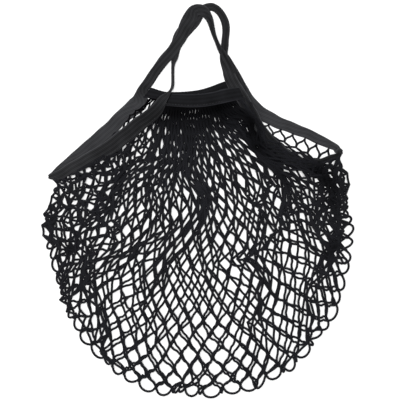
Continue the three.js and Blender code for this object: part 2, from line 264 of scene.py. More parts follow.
def hermite_line(points):
    """A finely drawn smooth line through points of any number of values."""
    p = np.asarray(points, float)
    step = np.sqrt(np.linalg.norm(np.diff(p[:, :2], axis=0), axis=1) + TINY)[:, None]
    slope = np.diff(p, axis=0) / step
    before, after = step[:-1], step[1:]
    inner = (slope[:-1] * after + slope[1:] * before) / (before + after)
    lean = np.concatenate([slope[:1], inner, slope[-1:]])
    t = (np.arange(LINE_PARTS) / LINE_PARTS)[None, :, None]
    leave, arrive = lean[:-1] * step, lean[1:] * step
    line = hermite(t, p[:-1, None], leave[:, None], p[1:, None], arrive[:, None])
    return np.concatenate([line.reshape(-1, p.shape[1]), p[-1:]])


def smooth_line(points, count=None, at=None):
    """Points spread evenly, or at the given shares, along a smooth line."""
    line = hermite_line(points)
    far = lengths(line[:, :2])
    share = np.linspace(0, 1, count) if at is None else at
    return looked_up(share * far[-1], far, line)


def left_of(line):
    """The way to the left of a line at each of its points, seen from above."""
    way = unit(np.gradient(line[:, :2], axis=0))
    return np.column_stack([-way[:, 1], way[:, 0]])


def rim_line():
    """The pouch's outline as a fine line, with the way inwards at each point."""
    edge = smooth_line(OUTLINE, RIM_POINTS)
    return edge, left_of(edge)


def slit_frame(places):
    """How far places lie from the back tape of the right slit, and the way from it into the bag."""
    line = smooth_line(BACK_RIGHT, SLIT_POINTS)[:, :2]
    near, depth = nearest(places, line)
    return depth, -left_of(line)[near]


# The net's knots


def covering(share, cover):
    """How far the net lies over the tape's face, from 1 near the mouth to 0 beyond the cover."""
    return np.clip((cover - share) / COVER_FADE, 0, 1)


def sewn_line(stretch, side, mouth_end, corner_end, rows, cover=0.0, crowding=1.0):
    """The net's edge along a stretch of tape: in its fold, or over its face near the mouth."""
    line = smooth_line(stretch, SEAM_POINTS)
    over = covering(np.linspace(0, 1, SEAM_POINTS), cover)
    reach = (line[:, 2] / 2 - HEM) * (1 - 2 * over)
    edge = line[:, :2] + side * reach[:, None] * left_of(line)
    crowded = 1 - (1 - np.arange(rows + 1) / rows) ** crowding
    return smooth_line(np.concatenate([[mouth_end], edge, [corner_end]]), at=crowded)


def side_bulge(seam, start, end):
    """How far one side of a layer, its seam and then the outline, lies off a straight line."""
    lower = smooth_line(OUTLINE, at=np.linspace(start, end, ROWS - len(seam) + 2))
    line = np.concatenate([seam, lower[1:]])
    down = ROW_SHARE[:, None]
    return line - ((1 - down) * line[0] + down * line[-1])


def layer_start(mouth, top_share, left_stretch, right_stretch, cover=0.0, crowding=1.0):
    """Where the knots of one layer start: straight columns whose ends bulge with the sides."""
    top = smooth_line(mouth, at=top_share)
    bottom = smooth_line(OUTLINE, at=BOTTOM_FROM + (BOTTOM_TO - BOTTOM_FROM) * COLUMN_SHARE)
    left_seam = sewn_line(left_stretch, 1, mouth[0], OUTLINE[0], SLIT_ROWS_LEFT)
    right_seam = sewn_line(right_stretch, -1, mouth[-1], OUTLINE[-1], SLIT_ROWS_RIGHT, cover, crowding)
    left = side_bulge(left_seam, 0, BOTTOM_FROM)
    right = side_bulge(right_seam, 1, BOTTOM_TO)
    u = COLUMN_SHARE[None, :, None]
    v = ROW_SHARE[:, None, None]
    places = (1 - v) * top[None] + v * bottom[None]
    return places + (1 - u) ** SIDE_FADE * left[:, None] + u**SIDE_FADE * right[:, None]


def spread(rim, *grids):
    """Both layers spread evenly: their knots on the rim slide along it together."""
    edge = smooth_line(OUTLINE, SPREAD_POINTS)
    for _ in range(SPREAD_SWEEPS):
        slid = 0
        for grid in grids:
            wide = np.pad(grid, ((1, 1), (1, 1), (0, 0)), mode="edge")
            rows = ROW_GROWTH * wide[:-2, 1:-1] + wide[2:, 1:-1]
            mean = (rows + wide[1:-1, :-2] + wide[1:-1, 2:]) / (3 + ROW_GROWTH)
            grid[1:-1, 1:-1] = mean[1:-1, 1:-1]
            below = grid[-1, :-2] + grid[-1, 2:] + RIM_PULL * grid[-2, 1:-1]
            mean[-1, 1:-1] = below / (2 + RIM_PULL)
            for end, inner in ((0, 1), (-1, -2)):
                beside = grid[:-2, end] + grid[2:, end] + RIM_PULL * grid[1:-1, inner]
                mean[1:-1, end] = beside / (2 + RIM_PULL)
                mean[-1, end] = (grid[-2, end] + grid[-1, inner]) / 2
            slid = slid + mean[rim] / len(grids)
        places = edge[nearest(slid, edge)[0]]
        for grid in grids:
            grid[rim] = places


def slipped(grid, slip):
    """The knots moved along their rows by a share of a column, but not at the sides and the mouth."""
    column = np.arange(LAST_COLUMN + 1.0)
    at_sides = 1 + SIDE_SLIP * np.abs(2 * COLUMN_SHARE - 1)
    shift = slip * at_sides * np.minimum(1, SLIP_FADE * COLUMN_SHARE * (1 - COLUMN_SHARE))
    for row in range(1, ROWS + 1):
        grid[row] = looked_up(column + shift * row / ROWS, column, grid[row])
    return grid.reshape(-1, 2)


def knot_number(column, row):
    return row * (LAST_COLUMN + 1) + column


class Net:
    """The pouch's knots, their layers and holds, and the strands between them."""

    def __init__(self):
        column = np.tile(np.arange(LAST_COLUMN + 1), ROWS + 1)
        self.row = np.repeat(np.arange(ROWS + 1), LAST_COLUMN + 1)
        self.count = len(self.row)
        self.layer = (column + self.row) % 2
        self.front = self.layer == FRONT
        mouth = self.row == 0
        left = (column == 0) & (self.row <= SLIT_ROWS_LEFT)
        right = (column == LAST_COLUMN) & (self.row <= SLIT_ROWS_RIGHT)
        self.sewn = mouth | left | right
        self.rim = ~self.sewn & ((self.row == ROWS) | (column == 0) | (column == LAST_COLUMN))
        self.held = self.sewn | self.rim
        self.knots = self.start()
        self.from_slit = slit_frame(self.knots)[0]
        self.window = ~self.front & (self.from_slit < WINDOW)
        covered = covering(self.row / SLIT_ROWS_RIGHT, COVER)
        self.cover = np.where(self.front & right & ~mouth, covered, 0)
        front_edge = np.where(mouth, FRONT_EDGE_Z, FRONT_TAPE_Z + COVER_RISE * self.cover)
        back_edge = np.where(mouth, BACK_BAND_Z, BACK_TAPE_Z)
        self.edge_height = np.where(self.front, front_edge, back_edge)
        self.strands = np.array(self.lay_strands())
        self.first, self.first_slot, self.second, self.second_slot, side = self.strands.T
        self.fold = side == BOTH

    def start(self):
        """The first places of the knots: both layers spread between mouth, slits and rim."""
        hung = np.interp(COLUMN_SHARE, [0, HUNG_COLUMNS / LAST_COLUMN, 1], [0, HUNG_SHARE, 1])
        hung_left = FRONT_LEFT[HUNG_STATIONS:]
        front = layer_start(FRONT_MOUTH, hung, hung_left, FRONT_RIGHT, COVER, COVER_CROWDING)
        back = layer_start(BACK_MOUTH, COLUMN_SHARE, BACK_LEFT, BACK_RIGHT)
        spread(self.rim.reshape(ROWS + 1, -1), front, back)
        return np.where(self.front[:, None], slipped(front, -SLIP), slipped(back, SLIP))

    def lay_strands(self):
        """Every strand as its first knot and slot, its last knot and slot, and its layer."""
        strands = []
        for r in range(ROWS):
            for c in range(LAST_COLUMN + 1):
                here = knot_number(c, r)
                side = (c + r) % 2
                if c < LAST_COLUMN:
                    strands.append((here, DOWN_RIGHT, knot_number(c + 1, r + 1), UP_LEFT, side))
                if c > 0:
                    strands.append((here, DOWN_LEFT, knot_number(c - 1, r + 1), UP_RIGHT, side))
        for r in range(SLIT_ROWS_LEFT + 1, ROWS):
            strands.append((knot_number(0, r), DOWN_LEFT, knot_number(0, r + 1), UP_LEFT, BOTH))
        for r in range(SLIT_ROWS_RIGHT + 1, ROWS):
            here = knot_number(LAST_COLUMN, r)
            strands.append((here, DOWN_RIGHT, knot_number(LAST_COLUMN, r + 1), UP_RIGHT, BOTH))
        for c in range(LAST_COLUMN):
            strands.append((knot_number(c, ROWS), DOWN_RIGHT, knot_number(c + 1, ROWS), DOWN_LEFT, BOTH))
        return strands

    def carried(self, values):
        """Values of the knots, then those of all inner points of strands, evenly between their ends."""
        share = INNER_SHARE.reshape(-1, *[1] * (values.ndim - 1))
        inner = values[self.first][:, None] * (1 - share) + values[self.second][:, None] * share
        return np.concatenate([values, inner.reshape(-1, *values.shape[1:])])


def separate_groups(pairs, count):
    """The numbers of pairs, sorted into groups in which no point is used twice."""
    groups = []
    for number, (first, second) in enumerate(pairs):
        for members, taken in groups:
            if not taken[first] and not taken[second]:
                break
        else:
            members = []
            taken = np.zeros(count, bool)
            groups.append((members, taken))
        members.append(number)
        taken[first] = True
        taken[second] = True
    return [members for members, _ in groups]


def pull(points, loose, first, second, length, give):
    """Pulls pairs of points to their length; those that lie too close part by the share they give."""
    gap = points[second] - points[first]
    apart = np.linalg.norm(gap, axis=1) + TINY
    error = (apart - length) / apart
    error = np.where(error < 0, give * error, error) / (loose[first] + loose[second] + TINY)
    move = gap * error[:, None]
    points[first] += move * loose[first][:, None]
    points[second] -= move * loose[second][:, None]


def soft_drift(places, draw, size, shortest, longest):
    """A slow wandering of the net, the same for knots that lie close together."""
    moved = np.zeros_like(places)
    for _ in range(DRIFT_WAVES):
        way = unit(draw.normal(0, 1, 2))
        length = draw.uniform(shortest, longest)
        turn = draw.uniform(0, 2 * math.pi)
        push = draw.normal(0, 1, 2) * size * math.sqrt(2 / DRIFT_WAVES)
        moved = moved + np.sin(places @ way * 2 * math.pi / length + turn)[:, None] * push
    return moved


def column_room(places):
    """How much room a knot has: the distance between its neighbours in the row."""
    grid = places.reshape(ROWS + 1, LAST_COLUMN + 1, 2)
    return np.linalg.norm(np.gradient(grid, axis=1), axis=2).reshape(-1, 1)


def gathered(places, layer):
    """The knots drawn together along the lines where the net lies gathered."""
    for x0, y0, x1, y1, reach, share, side in GATHERS:
        start = np.array([x0, y0], float)
        way = np.array([x1 - x0, y1 - y0], float)
        along = np.clip((places - start) @ way / (way @ way), 0, 1)[:, None]
        gap = start + along * way - places
        amount = share * np.exp(-(gap**2).sum(1) / reach**2)
        if side != BOTH:
            amount = amount * (layer == side)
        places = places + amount[:, None] * gap
    return places


def opened(places):
    """The columns pushed apart in the lower pouch, and to the right above it."""
    x, y = places[:, 0], places[:, 1]
    low = ramp(y, *LOWER_POUCH)
    share = np.clip(x / HALF_WIDTH, -1, 1)
    at_bottom = np.maximum(LEAST_PUSH, ramp(y, *ABOVE_BOTTOM))
    push = (UPPER_PUSH + (LOWER_PUSH - UPPER_PUSH) * low) * at_bottom * np.sin(np.pi * share)
    shift = UPPER_SHIFT * (1 - share**2) * (1 - low)
    aside = ASIDE * bell(x, ASIDE_PLACE[0], ASIDE_REACH[0]) * bell(y, ASIDE_PLACE[1], ASIDE_REACH[1])
    return np.column_stack([x + (push + shift + aside) * ramp(y, *BELOW_MOUTH), y])


def widened(places, layer):
    """The back layer drawn away from the right slit, where its cells stand wide open."""
    depth, inwards = slit_frame(places)
    fade = bell(depth, 0, WINDOW) * (layer == BACK)
    move = WIDENING * (1 - np.exp(-depth / WIDE_FROM)) * fade
    return places + move[:, None] * inwards


def kept_inside(places, net):
    """The loose knots of the back layer moved back inside the tapes of both slits."""
    loose = ~net.front & ~net.held
    for stretch, side in ((BACK_LEFT, 1), (BACK_RIGHT, -1)):
        line = smooth_line(stretch, SLIT_POINTS)
        near, _ = nearest(places, line[:, :2])
        inwards = side * left_of(line)[near]
        depth = ((places - line[near, :2]) * inwards).sum(1)
        short = line[near, 2] / 2 + EDGE_GAP - depth
        beside = loose & (near > 0) & (near < SLIT_POINTS - 1)
        places = places + (np.clip(short, 0, LONGEST_RETURN) * beside)[:, None] * inwards
    return places


def wandered(net, draw):
    """The loose knots opened, gathered and let wander, less so near the edges that hold them."""
    start = net.knots
    moved = gathered(opened(start), net.layer)
    for side in (FRONT, BACK):
        wander = soft_drift(start, draw, DRIFT, *DRIFT_LENGTH)
        moved = np.where((net.layer == side)[:, None], moved + wander, moved)
    moved = moved + draw.normal(0, JITTER, start.shape) * column_room(start)
    _, away = nearest(start, start[net.held])
    free = ramp(away, *FREE_OF_HOLD) * ramp(net.row, *FREE_ROWS)
    free = np.where(net.front, free, free * ramp(net.from_slit, *FREE_OF_SLIT))
    places = start + (moved - start) * free[:, None]
    places = np.where(net.held[:, None], start, widened(places, net.layer))
    return kept_inside(places, net)


def settle_knots(net, cord, draw):
    """Lets the knots of both layers find their places: never further apart than a cord."""
    start = net.knots
    edge, inwards = rim_line()
    rim = np.where(net.rim)[0]
    depth = RIM_INSET + SIDE_INSET * ramp(start[rim, 0], *LEFT_END)
    depth = depth + draw.uniform(-RIM_JITTER, RIM_JITTER, len(rim))
    places = wandered(net, draw)
    slide = soft_drift(start, draw, SLIDE, *SLIDE_LENGTH) + draw.normal(0, SLIDE_JITTER, start.shape)
    places[rim] += slide[rim]
    loose = np.where(net.sewn, 0.0, 1.0)
    pairs = np.column_stack([net.first, net.second])
    groups = [pairs[members].T for members in separate_groups(pairs, net.count)]
    for sweep in range(SETTLE_SWEEPS):
        for first, second in groups:
            pull(places, loose, first, second, STRETCH * cord, 0.0)
        if sweep % RIM_EVERY == 0 or sweep == SETTLE_SWEEPS - 1:
            near, _ = nearest(places[rim], edge)
            places[rim] = edge[near] + inwards[near] * depth[:, None]
    return kept_inside(places, net)


# The net's cords


class Cords:
    """The strands between the settled knots as chains of points, bent at random and then settled."""

    # First bends in millimetres, then lengths, pulls at each sweep, and the loops along the rim
    first_bend = 1.6
    first_loop = 6.0
    full_room = 5.0
    slack = 0.62
    taut = 1.05
    loop_chord = (1.25, 0.5)
    loop_cord = (0.6, 0.25)
    left_length = 0.7
    rim_loose = 0.3
    rim_return = 0.05
    knot_return = 0.1
    stiff = 0.3
    loop_stiff = 0.1
    kink = 0.2
    meeting = (2.4, 4.2)
    pinch = 0.18
    give = 0.8
    window_bend = 1.9
    loop = 26.0
    loop_bottom = 0.2
    loop_left = 0.3
    loop_width = 12.0
    loop_range = (0.15, 1.1)

    def __init__(self, net, cord, seed):
        draw = np.random.default_rng(seed)
        self.net = net
        self.knots = settle_knots(net, cord, draw)
        strands = len(net.strands)
        inner = net.count + np.arange(strands * (PARTS - 1)).reshape(strands, PARTS - 1)
        self.chain = np.column_stack([net.first, inner, net.second])
        start, end = self.knots[net.first], self.knots[net.second]
        middle = (start + end) / 2
        edge, inwards = rim_line()
        self.outwards = -inwards[nearest(middle, edge)[0]]
        self.chord = np.linalg.norm(end - start, axis=1)
        self.at_left = ramp(middle[:, 0], *LEFT_END)
        self.at_bottom = ramp(middle[:, 1], *BOTTOM_END)
        self.in_window = net.window[net.first] & net.window[net.second]
        self.points = net.carried(self.knots)
        bulge = np.sin(np.pi * INNER_SHARE)[None, :, None]
        room = np.minimum(1, column_room(net.knots)[net.first] / self.full_room)[:, None]
        bend = draw.normal(0, self.first_bend, (strands, 1, 2)) * room * bulge
        loop = np.where(net.fold[:, None, None], self.outwards[:, None] * self.first_loop * bulge, 0)
        self.points[net.count:] += bend.reshape(-1, 2)
        self.points[net.count:] += loop.reshape(-1, 2)
        self.settle(cord)
        self.draw_window()
        self.draw_loops()

    def strand_lengths(self, cord):
        """The cord in each strand: taut at the seams and in the window, more in the rim's loops."""
        net = self.net
        tight = net.sewn[net.first] | net.sewn[net.second] | self.in_window
        plain_length = np.maximum(np.where(tight, 0.0, self.slack * cord), self.taut * self.chord)
        longer = np.maximum(self.at_bottom, self.left_length * self.at_left)
        by_chord = (self.loop_chord[0] + self.loop_chord[1] * longer) * self.chord
        by_cord = (self.loop_cord[0] + self.loop_cord[1] * longer) * cord
        return np.where(net.fold, np.maximum(by_chord, by_cord), plain_length)

    def beside(self, step, strands=slice(None)):
        """For each knot and slot, the point so many steps along the strand there, or -1."""
        net = self.net
        table = np.full((net.count, len(ON)), -1)
        table[net.first[strands], net.first_slot[strands]] = self.chain[strands, step]
        table[net.second[strands], net.second_slot[strands]] = self.chain[strands, -1 - step]
        return table

    def twins(self):
        """Pairs of points that lie side by side next to a knot, their distance and how they are pinched."""
        net = self.net
        pairs = []
        for step in (1, 2):
            at = self.beside(step, ~net.fold)
            pair = np.concatenate([at[:, [UP_LEFT, UP_RIGHT]], at[:, [DOWN_LEFT, DOWN_RIGHT]]])
            pairs.append(pair[(pair >= 0).all(1)])
        apart = np.repeat(self.meeting, [len(pair) for pair in pairs])[:, None]
        pairs = np.concatenate(pairs)
        hold = self.pinch * ramp(net.row, *PINCHED_ROWS) * ~net.window
        hold = np.concatenate([hold, np.repeat(hold[net.first], PARTS - 1)])
        return pairs[:, 0], pairs[:, 1], apart, hold[pairs[:, :1]]

    def rim_crossings(self):
        """The points before and after each rim knot on the cords that run straight through it."""
        near = self.beside(1)
        rim = np.where(self.net.rim)[0]
        falling = np.column_stack([near[rim, UP_LEFT], rim, near[rim, DOWN_RIGHT]])
        rising = np.column_stack([near[rim, UP_RIGHT], rim, near[rim, DOWN_LEFT]])
        through = np.concatenate([falling, rising])
        return through[(through >= 0).all(1)].T

    def settle(self, cord):
        """Bends the cords until they keep their length, run on smoothly and lie together at the knots."""
        net, points, chain = self.net, self.points, self.chain
        knots = points[:net.count]
        loose = np.ones(len(points))
        loose[:net.count] = np.where(net.rim, self.rim_loose, ~net.sewn)
        pairs = np.concatenate([chain[:, [k, k + 1]] for k in range(PARTS)])
        part = np.tile(self.strand_lengths(cord) / PARTS, PARTS)
        groups = [(*pairs[members].T, part[members]) for members in separate_groups(pairs, len(points))]
        own = np.concatenate([net.first, net.second])
        next_to = np.concatenate([chain[:, 1], chain[:, -2]])
        ends_there = np.bincount(own)[:, None]
        before, rim_knot, after = self.rim_crossings()
        left_twin, right_twin, meeting, pinch = self.twins()
        stiff = np.where(net.fold, self.loop_stiff, self.stiff)[:, None, None]
        for _ in range(BEND_SWEEPS):
            knots += np.where(net.rim[:, None], self.rim_return * (self.knots - knots), 0)
            lines = points[chain]
            straighten = stiff * ((lines[:, :-2] + lines[:, 2:]) / 2 - lines[:, 1:-1])
            points[net.count:] += straighten.reshape(-1, 2)
            mean = np.stack([np.bincount(own, points[next_to, k]) for k in range(2)], 1) / ends_there
            knots += np.where(net.sewn[:, None], 0, self.knot_return * (mean - knots))
            kink = self.kink * (points[before] + points[after] - 2 * points[rim_knot])
            points[before] -= kink
            points[after] -= kink
            gap = points[right_twin] - points[left_twin]
            apart = np.linalg.norm(gap, axis=1)[:, None] + TINY
            closer = gap * np.maximum(0, 1 - meeting / apart) * pinch
            points[left_twin] += closer
            points[right_twin] -= closer
            for first, second, length in groups:
                pull(points, loose, first, second, length, self.give)

    def redraw(self, strands, leave, arrive):
        """Lays the inner points of some strands on smooth curves with given ways at their two ends."""
        chain = self.chain[strands]
        start, end = self.points[chain[:, :1]], self.points[chain[:, -1:]]
        share = INNER_SHARE[None, :, None]
        self.points[chain[:, 1:-1]] = hermite(share, start, leave[:, None], end, arrive[:, None])

    def draw_window(self):
        """Bends the strands of the window so that they leave their knots straight into the bag."""
        net = self.net
        depth, inwards = slit_frame(self.points[:net.count])
        deeper = (depth[net.second] - depth[net.first])[:, None]
        way = self.window_bend * deeper * (inwards[net.first] + inwards[net.second]) / 2
        self.redraw(self.in_window, way[self.in_window], way[self.in_window])

    def draw_loops(self):
        """Rounds the strands along the rim to loops that carry on the cords that come to them."""
        net, points, fold = self.net, self.points, self.net.fold
        near = self.beside(1)
        before = near[net.first[fold], ON[net.first_slot[fold]]]
        after = near[net.second[fold], ON[net.second_slot[fold]]]
        out = self.outwards[fold]
        come = unit(points[net.first[fold]] - points[before]) * (before >= 0)[:, None]
        go = unit(points[after] - points[net.second[fold]]) * (after >= 0)[:, None]
        larger = 1 + self.loop_bottom * self.at_bottom[fold] + self.loop_left * self.at_left[fold]
        width = np.clip(self.chord[fold] / self.loop_width, *self.loop_range)
        reach = (self.loop * larger * width)[:, None]
        self.redraw(fold, reach * unit(out + come), reach * unit(go - out))


def cord_paths(strands):
    """Strands joined into cords that run straight on through each knot and round the rim."""
    leaves = {}
    for number, (a, slot_a, b, slot_b, _) in enumerate(strands):
        leaves[(a, slot_a)] = (number, True)
        leaves[(b, slot_b)] = (number, False)

    def follow(number, forward):
        path = []
        while number not in done:
            done.add(number)
            path.append((number, forward))
            a, slot_a, b, slot_b, _ = strands[number]
            key = (b, ON[slot_b]) if forward else (a, ON[slot_a])
            if key not in leaves:
                break
            number, forward = leaves[key]
        return path

    done = set()
    paths = []
    for (knot, slot), (number, forward) in leaves.items():
        if number not in done and (knot, ON[slot]) not in leaves:
            paths.append(follow(number, forward))
    for number in range(len(strands)):
        if number not in done:
            paths.append(follow(number, True))
    return paths


# Making meshes from arrays


def deselect_all():
    bpy.ops.object.select_all(action="DESELECT")


def mesh_piece(name, points, quads, uv):
    """A mesh object from points in millimetres, four-sided faces and one UV pair for each corner."""
    mesh = bpy.data.meshes.new(name)
    mesh.vertices.add(len(points))
    mesh.vertices.foreach_set("co", (points * MM).ravel())
    mesh.loops.add(quads.size)
    mesh.loops.foreach_set("vertex_index", quads.ravel())
    mesh.polygons.add(len(quads))
    mesh.polygons.foreach_set("loop_start", np.arange(0, quads.size, 4))
    mesh.update(calc_edges=True)
    layer = mesh.uv_layers.new(name="Surface")
    layer.data.foreach_set("uv", uv.ravel())
    mesh.validate()
    piece = bpy.data.objects.new(name, mesh)
    bpy.context.scene.collection.objects.link(piece)
    deselect_all()
    piece.select_set(True)
    bpy.context.view_layer.objects.active = piece
    bpy.ops.object.shade_smooth()
    return piece


def hand_over(piece, slot, material, *nodes):
    """Gives a finished piece its material, its body and the solids it stands for."""
    piece.data.materials.clear()
    piece.data.materials.append(material)
    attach(piece, "root")
    if nodes:
        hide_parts(*nodes)


def point_values(piece, name, values):
    """Stores one value for each point of a piece."""
    layer = piece.data.attributes.new(name, "FLOAT", "POINT")
    layer.data.foreach_set("value", values.ravel())


def coordinates(mesh):
    """The places of a mesh's points."""
    places = np.zeros(len(mesh.vertices) * 3)
    mesh.vertices.foreach_get("co", places)
    return places.reshape(-1, 3)


def ring_faces(count, sides):
    """Faces from each ring of points to the next one, and from the last to the first."""
    a = np.arange(count * sides).reshape(count, sides)
    b = np.roll(a, -1, 1)
    return np.stack([a, b, np.roll(b, -1, 0), np.roll(a, -1, 0)], 2)


def ring_uv(around, along):
    """UV of the faces between rings, from both measures at every ring and side."""
    uv = np.stack([around, along], 2)
    return np.stack([uv[:-1, :-1], uv[:-1, 1:], uv[1:, 1:], uv[1:, :-1]], 2).reshape(-1, 2)


def cap_faces(sides):
    """Four-sided faces that close a ring with an even number of sides."""
    last = sides - 1
    return np.array([(k, k + 1, last - k - 1, last - k) for k in range(sides // 2 - 1)])


def cord_rings(line, sides, radius):
    """Rings of points round a line in space."""
    along = unit(np.gradient(line, axis=0))
    aside = unit(np.cross([0.0, 0.0, 1.0], along))
    over = np.cross(along, aside)
    turn = (2 * np.pi * np.arange(sides) / sides)[None, :, None]
    ring = np.cos(turn) * aside[:, None] + np.sin(turn) * over[:, None]
    return line[:, None] + radius[:, None, None] * ring


def closed_tubes(name, lines, radii, sides):
    """One mesh of closed tubes round lines in space, with UV in millimetres around and along."""
    rows, faces, corners = [], [], []
    first = 0
    cap = cap_faces(sides)
    for line, radius in zip(lines, radii):
        rows.append(cord_rings(line, sides, radius).reshape(-1, 3))
        wall = ring_faces(len(line), sides)[:-1].reshape(-1, 4)
        end = cap + (len(line) - 1) * sides
        faces.append(first + np.concatenate([wall, cap[:, ::-1], end]))
        first += len(line) * sides
        far = lengths(line)
        turn = np.arange(sides + 1) / sides * 2 * math.pi * radius.max()
        start_uv = np.column_stack([turn[cap[:, ::-1]].ravel(), np.full(cap.size, far[0])])
        end_uv = np.column_stack([turn[cap].ravel(), np.full(cap.size, far[-1])])
        corners.append(np.concatenate([ring_uv(*np.meshgrid(turn, far)), start_uv, end_uv]))
    return mesh_piece(name, np.concatenate(rows), np.concatenate(faces), np.concatenate(corners))


# Materials


class Wire:
    """A node socket, or a node tree without one, that is used in plain arithmetic."""

    def __init__(self, tree, socket=None):
        self.tree = tree
        self.socket = socket

    def add(self, kind, settings=None, sockets=None, output=0):
        """Adds any node: its settings first, then the values or links of its sockets."""
        node = self.tree.nodes.new(kind)
        for name, value in (settings or {}).items():
            setattr(node, name, value)
        for name, value in (sockets or {}).items():
            if isinstance(value, Wire):
                self.tree.links.new(value.socket, node.inputs[name])
            else:
                node.inputs[name].default_value = value
        return Wire(self.tree, node.outputs[output])

    def maths(self, operation, *values):
        return self.add("ShaderNodeMath", {"operation": operation}, dict(enumerate(values)))

    def __add__(self, other):
        return self.maths("ADD", self, other)

    def __sub__(self, other):
        return self.maths("SUBTRACT", self, other)

    def __rsub__(self, other):
        return self.maths("SUBTRACT", other, self)

    def __mul__(self, other):
        return self.maths("MULTIPLY", self, other)

    __radd__ = __add__
    __rmul__ = __mul__

    def wave(self):
        """A wave between 0 and 1 along this value."""
        return self.maths("SINE", self) * 0.5 + 0.5

    def power(self, exponent):
        return self.maths("POWER", self, exponent)

    def held(self):
        """The value kept between 0 and 1."""
        return self.add("ShaderNodeClamp", None, {"Value": self})

    def mixed(self, low, high):
        """A colour between two colours, by this value."""
        settings = {"data_type": "RGBA"}
        return self.add("ShaderNodeMix", settings, {"Factor": self, 6: low, 7: high}, 2)

    def speckle(self, scale, detail=3.0):
        """Noise on the object's own coordinates."""
        place = self.add("ShaderNodeTexCoord", None, None, 3)
        return self.add("ShaderNodeTexNoise", None, {"Vector": place, "Scale": scale, "Detail": detail})

    def stored(self, name):
        """A value stored with the points of the piece."""
        return self.add("ShaderNodeAttribute", {"attribute_name": name}, None, 2)

    def feed(self, shader, name):
        """Links this value to a socket of the shader."""
        self.tree.links.new(self.socket, shader.inputs[name])


def new_material(name):
    """A new material, its shader and its node tree."""
    material = bpy.data.materials.new(name)
    material.use_nodes = True
    return material, material.node_tree.nodes["Principled BSDF"], Wire(material.node_tree)


def surface_places(wire):
    """The UV coordinates of a piece in millimetres: around it and along it."""
    uv = wire.add("ShaderNodeUVMap", {"uv_map": "Surface"})
    along = wire.add("ShaderNodeSeparateXYZ", None, {"Vector": uv}, 1)
    return Wire(wire.tree, along.socket.node.outputs[0]), along


def shade(colour, factor):
    """A colour made darker or lighter."""
    return (colour[0] * factor, colour[1] * factor, colour[2] * factor, 1.0)


def finish_cloth(shader, height, depth, gloss):
    """Bump from a height field, and the dull surface of cotton."""
    bump = height.add("ShaderNodeBump", None, {"Strength": 0.7, "Distance": depth, "Height": height})
    bump.feed(shader, "Normal")
    shader.inputs["Specular IOR Level"].default_value = gloss
    shader.inputs["Sheen Weight"].default_value = gloss * 0.3
    shader.inputs["Sheen Roughness"].default_value = 0.6


def cord_material(base):
    """Twisted cotton cord: plies run slantwise round it, with fluff, and with painted shade where cords lie
    crowded and under the band.
    """
    material, shader, wire = new_material("net_cord")
    around, along = surface_places(wire)
    ply = (along * 3.1 + around * 2.0).wave()
    fibre = wire.speckle(2600)
    patch = wire.speckle(45)
    tone = (ply.power(2.0) * 0.45 + fibre * 0.35 + patch * 0.4 - 0.2).held()
    # Painted shade: where the stored light value is low the cord is painted darker, among crowded knots and
    # under the band.
    crowded = tone.mixed(shade(base, 0.05), shade(base, 0.4))
    lit = tone.mixed(shade(base, 0.8), shade(base, 3.2))
    wire.stored("light").mixed(crowded, lit).feed(shader, "Base Color")
    (0.95 - ply * 0.12).held().feed(shader, "Roughness")
    finish_cloth(shader, ply + fibre * 0.5, 0.0004, 0.015)
    return material


def tape_material(name, base, edge_highlight_gain, rib_pitch, crease_pitch=4.6, thread_pitch=0.9):
    """Woven cotton tape: lengthwise ribs, cross threads, stretches with painted light and shade, and a
    painted highlight along its edges.
    """
    material, shader, wire = new_material(name)
    around, along = surface_places(wire)
    patch = wire.speckle(60, 4.0)
    rib = (around * (2 * math.pi / rib_pitch)).wave()
    crease = (around * (2 * math.pi / crease_pitch) + patch).wave()
    thread = (along * (2 * math.pi / thread_pitch) + rib * 1.5).wave()
    fibre = wire.speckle(1900)
    weave = rib * 0.34 + thread * 0.14 + crease * 0.2
    # For the tape the stored pale value is painted light and shade: each stretch painted paler or darker,
    # and darker in the hollow of curled tape.
    tone = (weave + fibre * 0.24 + patch * 0.6 + wire.stored("pale") * 0.4 - 0.61).held()
    cloth = tone.mixed(shade(base, 0.25), shade(base, 2.3))
    # Painted highlight along the folded edges, from the stored edge value.
    painted_edge_highlight = (wire.stored("edge") * (0.45 + patch * 0.8)).held()
    painted_edge_highlight.mixed(cloth, shade(base, edge_highlight_gain)).feed(shader, "Base Color")
    (0.82 + fibre * 0.16).held().feed(shader, "Roughness")
    finish_cloth(shader, rib * 0.6 + thread * 0.4 + fibre * 0.4, 0.00035, 0.08)
    return material


def thread_material(base):
    """Sewing thread: a fine twist that shines a little."""
    material, shader, wire = new_material("sewing_thread")
    around, along = surface_places(wire)
    twist = (along * 9.0 + around * 4.0).wave()
    fibre = wire.speckle(3000)
    tone = (twist * 0.6 + fibre * 0.4).held()
    tone.mixed(shade(base, 0.6), shade(base, 1.5)).feed(shader, "Base Color")
    (0.7 + fibre * 0.2).held().feed(shader, "Roughness")
    finish_cloth(shader, twist, 0.0002, 0.2)
    return material


def floor_material(base):
    """A matt pale board with the faintest mottle."""
    material, shader, wire = new_material("floor")
    mottle = wire.speckle(12).held()
    mottle.mixed(shade(base, 0.985), shade(base, 1.0)).feed(shader, "Base Color")
    shader.inputs["Roughness"].default_value = 0.9
    shader.inputs["Specular IOR Level"].default_value = 0.1
    return material


# Settings that a user would change


class NetSettings(bpy.types.PropertyGroup):
    """The knitted net of the pouch."""

    cord_thickness: bpy.props.FloatProperty(
        name="Cord thickness", description="Thickness of the net's cord", default=0.0026, unit="LENGTH")
    strand_length: bpy.props.FloatProperty(
        name="Strand length", description="Cord between two knots", default=0.0168, unit="LENGTH")
    colour: bpy.props.FloatVectorProperty(
        name="Cord colour", description="Colour of the cotton cord", subtype="COLOR", size=3,
        default=(0.0078, 0.008, 0.0095))
    seed: bpy.props.IntProperty(
        name="Lie", description="Number that decides how the net happens to lie", default=11)


